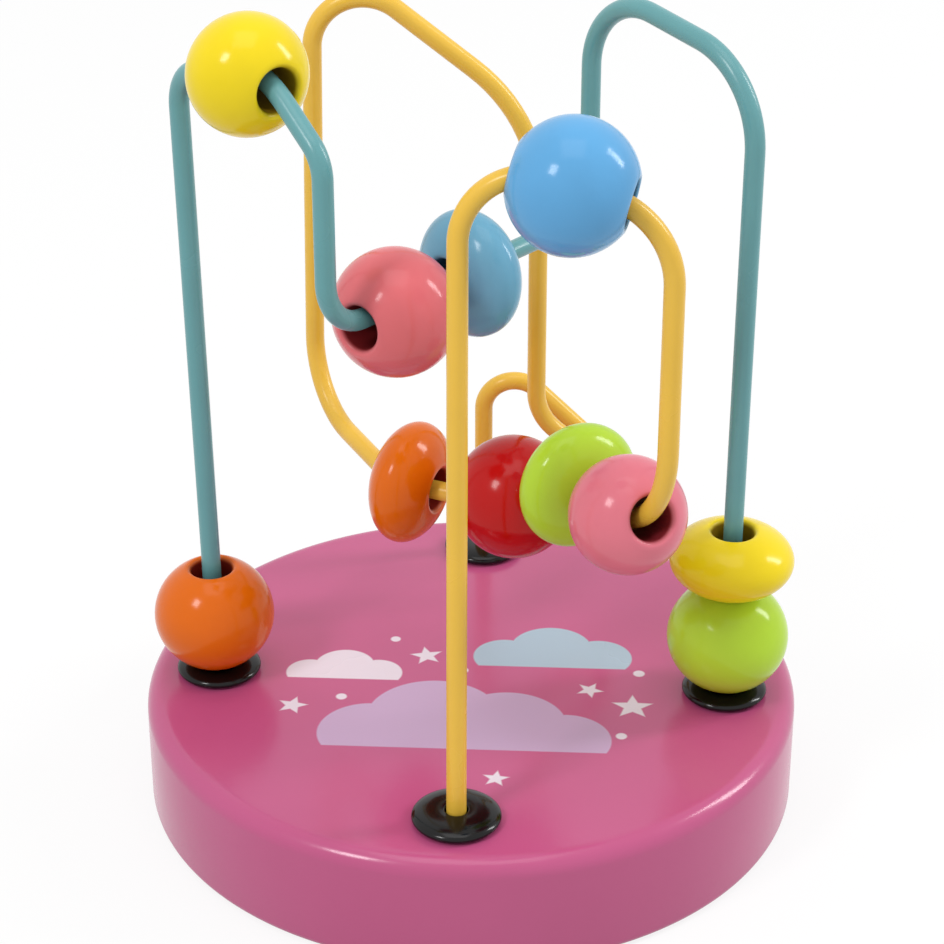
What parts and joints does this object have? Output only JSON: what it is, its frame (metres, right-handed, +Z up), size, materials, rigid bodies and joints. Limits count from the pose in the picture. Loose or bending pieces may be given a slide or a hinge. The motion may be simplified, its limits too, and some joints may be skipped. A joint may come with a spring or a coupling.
{
  "type": "bead maze",
  "caption": "Small bead maze: painted round and flat wooden beads slide on bent coated wires that stand in a round lacquered wooden base.",
  "frame": {"origin": "centre of the base's underside", "axes": "+Z up, +X from the left foot to the right foot, +Y from the front foot to the rear foot"},
  "size_m": [0.09, 0.09, 0.1153],
  "materials": {
    "base_lacquer": "gloss pink lacquer with a printed top",
    "ferrule_black": "black gloss",
    "teal_coating": "smooth satin coating",
    "yellow_coating": "smooth satin coating",
    "orange_paint": "gloss paint",
    "yellow_paint": "gloss paint",
    "rose_paint": "gloss paint",
    "blue_paint": "gloss paint",
    "green_paint": "gloss paint",
    "light_blue_paint": "gloss paint",
    "pink_paint": "gloss paint",
    "red_paint": "gloss paint"
  },
  "bodies": {
    "frame": {"base": "base_lacquer", "left_ferrule": "ferrule_black", "right_ferrule": "ferrule_black", "front_ferrule": "ferrule_black", "rear_ferrule": "ferrule_black", "teal_wire": "teal_coating", "yellow_wire": "yellow_coating"},
    "orange_round_bead": {"orange_round_bead": "orange_paint"},
    "yellow_round_bead": {"yellow_round_bead": "yellow_paint"},
    "rose_round_bead": {"rose_round_bead": "rose_paint"},
    "blue_flat_bead": {"blue_flat_bead": "blue_paint"},
    "green_round_bead": {"green_round_bead": "green_paint"},
    "yellow_flat_bead": {"yellow_flat_bead": "yellow_paint"},
    "light_blue_round_bead": {"light_blue_round_bead": "light_blue_paint"},
    "pink_round_bead": {"pink_round_bead": "pink_paint"},
    "green_flat_bead": {"green_flat_bead": "green_paint"},
    "red_round_bead": {"red_round_bead": "red_paint"},
    "orange_flat_bead": {"orange_flat_bead": "orange_paint"}
  },
  "joints": [
    {"name": "orange_round_bead_travel", "type": "slide", "parent": "frame", "child": "orange_round_bead", "axis": [-0.0145, 0, 0.9999], "range_m": [0, 0.062]},
    {"name": "yellow_round_bead_travel", "type": "hinge", "parent": "frame", "child": "yellow_round_bead", "pos_m": [-0.0267, -0.01187, 0.09385], "axis": [0.7422, 0.6702, 0], "range_deg": [-28, 28]},
    {"name": "rose_round_bead_travel", "type": "slide", "parent": "frame", "child": "rose_round_bead", "axis": [0.5818, 0.8126, -0.0338], "range_m": [-0.001, 0.0012]},
    {"name": "blue_flat_bead_travel", "type": "slide", "parent": "frame", "child": "blue_flat_bead", "axis": [0.5818, 0.8126, -0.0338], "range_m": [-0.0012, 0.015]},
    {"name": "green_round_bead_travel", "type": "slide", "parent": "frame", "child": "green_round_bead", "axis": [0.004, 0, 1], "range_m": [0, 0.025]},
    {"name": "yellow_flat_bead_travel", "type": "slide", "parent": "green_round_bead", "child": "yellow_flat_bead", "axis": [0.004, 0, 1], "range_m": [0, 0.025]},
    {"name": "light_blue_round_bead_travel", "type": "slide", "parent": "frame", "child": "light_blue_round_bead", "axis": [0.9591, -0.0872, -0.2692], "range_m": [-0.0003, 0.0011]},
    {"name": "pink_round_bead_travel", "type": "hinge", "parent": "frame", "child": "pink_round_bead", "pos_m": [0.01842, -0.01881, 0.06747], "axis": [0.871, 0.4912, 0], "range_deg": [-45, 1.2]},
    {"name": "green_flat_bead_travel", "type": "hinge", "parent": "frame", "child": "green_flat_bead", "pos_m": [0.01239, -0.01672, 0.04027], "axis": [-0.8254, -0.477, 0.3021], "range_deg": [-1.5, 1.2]},
    {"name": "red_round_bead_travel", "type": "hinge", "parent": "frame", "child": "red_round_bead", "pos_m": [-0.00326, -0.00589, 0.05875], "axis": [0.3264, 0.8528, 0.4077], "range_deg": [-0.7, 6]},
    {"name": "orange_flat_bead_travel", "type": "hinge", "parent": "frame", "child": "orange_flat_bead", "pos_m": [-0.00122, 0.01505, 0.04666], "axis": [0.0575, 0.1678, -0.9841], "range_deg": [-5, 36]}
  ]
}
